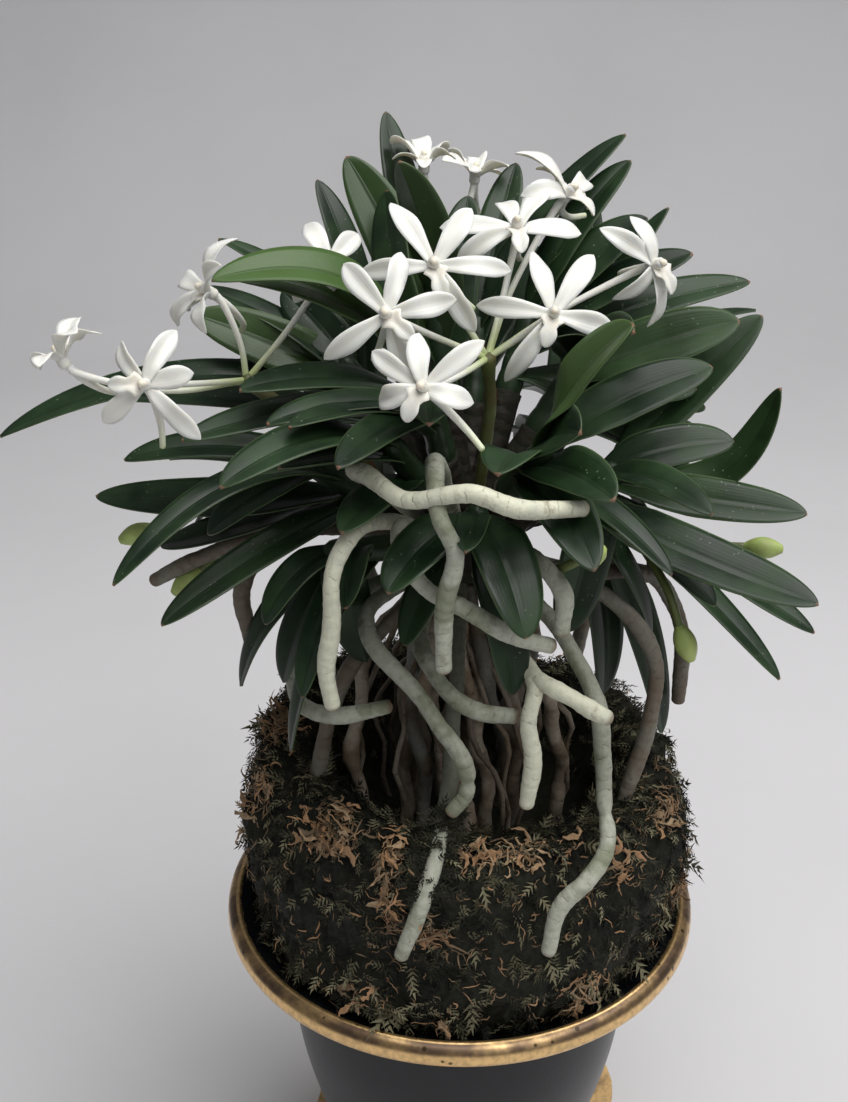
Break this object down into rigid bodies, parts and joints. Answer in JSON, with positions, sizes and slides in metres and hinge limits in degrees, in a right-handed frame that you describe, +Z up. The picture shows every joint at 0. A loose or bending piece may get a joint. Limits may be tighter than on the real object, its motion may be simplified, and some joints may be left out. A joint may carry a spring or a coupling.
{
  "type": "potted orchid",
  "caption": "Potted wind orchid: fans of folded strap leaves, thick aerial roots, white spurred flowers and buds over a hollow moss mound, in a black footed pot with a gold lip.",
  "frame": {"origin": "on the floor, under the middle of the whole object's box; the pot's axis is 13 mm to +X and 14 mm to -Y of it", "axes": "+Z up along the pot's axis, +X to the right and +Y away from the viewer who faces the lowest flowers"},
  "size_m": [0.1828, 0.1466, 0.288],
  "materials": {
    "glaze": "black glaze, satin on the body and glossy inside the lip, with a worn gold lip and feet",
    "moss": "dark olive moss with tan scraps of sphagnum",
    "bark": "rough brown old wood and leaf sheaths",
    "leaf": "dark green, glossy, finely streaked and specked",
    "live_root": "silvery cream velamen with greenish mottling and rings",
    "old_root": "dull tan to brown, ringed",
    "petal": "warm white, slightly translucent, with a cream throat",
    "stalk": "green to brown, with papery bracts",
    "bud": "yellow green, satin"
  },
  "bodies": {
    "root": {"pot": "glaze", "crown": "bark", "old_roots_1": "old_root", "old_roots_2": "old_root", "old_roots_3": "old_root", "old_roots_4": "old_root", "old_roots_5": "old_root", "root_bridge": "live_root", "root_centre": "live_root", "root_pale": "live_root", "root_slant": "live_root", "root_grey": "live_root", "root_short": "live_root", "root_long": "live_root", "root_forked": "live_root", "root_hook": "live_root", "root_level": "live_root", "root_left_down": "live_root", "roots_right": "live_root", "roots_left": "live_root", "root_half_buried": "live_root", "roots_back": "live_root", "moss": "moss", "stalk_middle": "stalk", "stalk_left": "stalk", "stalk_back": "stalk", "buds_left": "bud", "buds_right": "bud", "bud_front": "bud", "bloom_far_left": "petal", "bloom_left": "petal", "bloom_upper_left": "petal", "bloom_behind_leaf": "petal", "bloom_top": "petal", "bloom_leaning": "petal", "bloom_lowest": "petal", "bloom_high_middle": "petal", "bloom_high_right": "petal", "bloom_middle": "petal", "bloom_right": "petal", "bloom_back_left": "petal", "bloom_back_right": "petal", "fan_left_low": "leaf", "fan_left_high": "leaf", "fan_upper_left": "leaf", "fan_front_left": "leaf", "fan_hanging_left": "leaf", "fan_front": "leaf", "fan_front_right": "leaf", "fan_middle": "leaf", "fan_right_front": "leaf", "fan_right": "leaf", "fan_right_high": "leaf", "fan_back_right": "leaf", "fan_top": "leaf", "fan_back_top": "leaf", "fan_back_left": "leaf", "fan_back": "leaf", "fan_back_low": "leaf"}
  },
  "joints": []
}
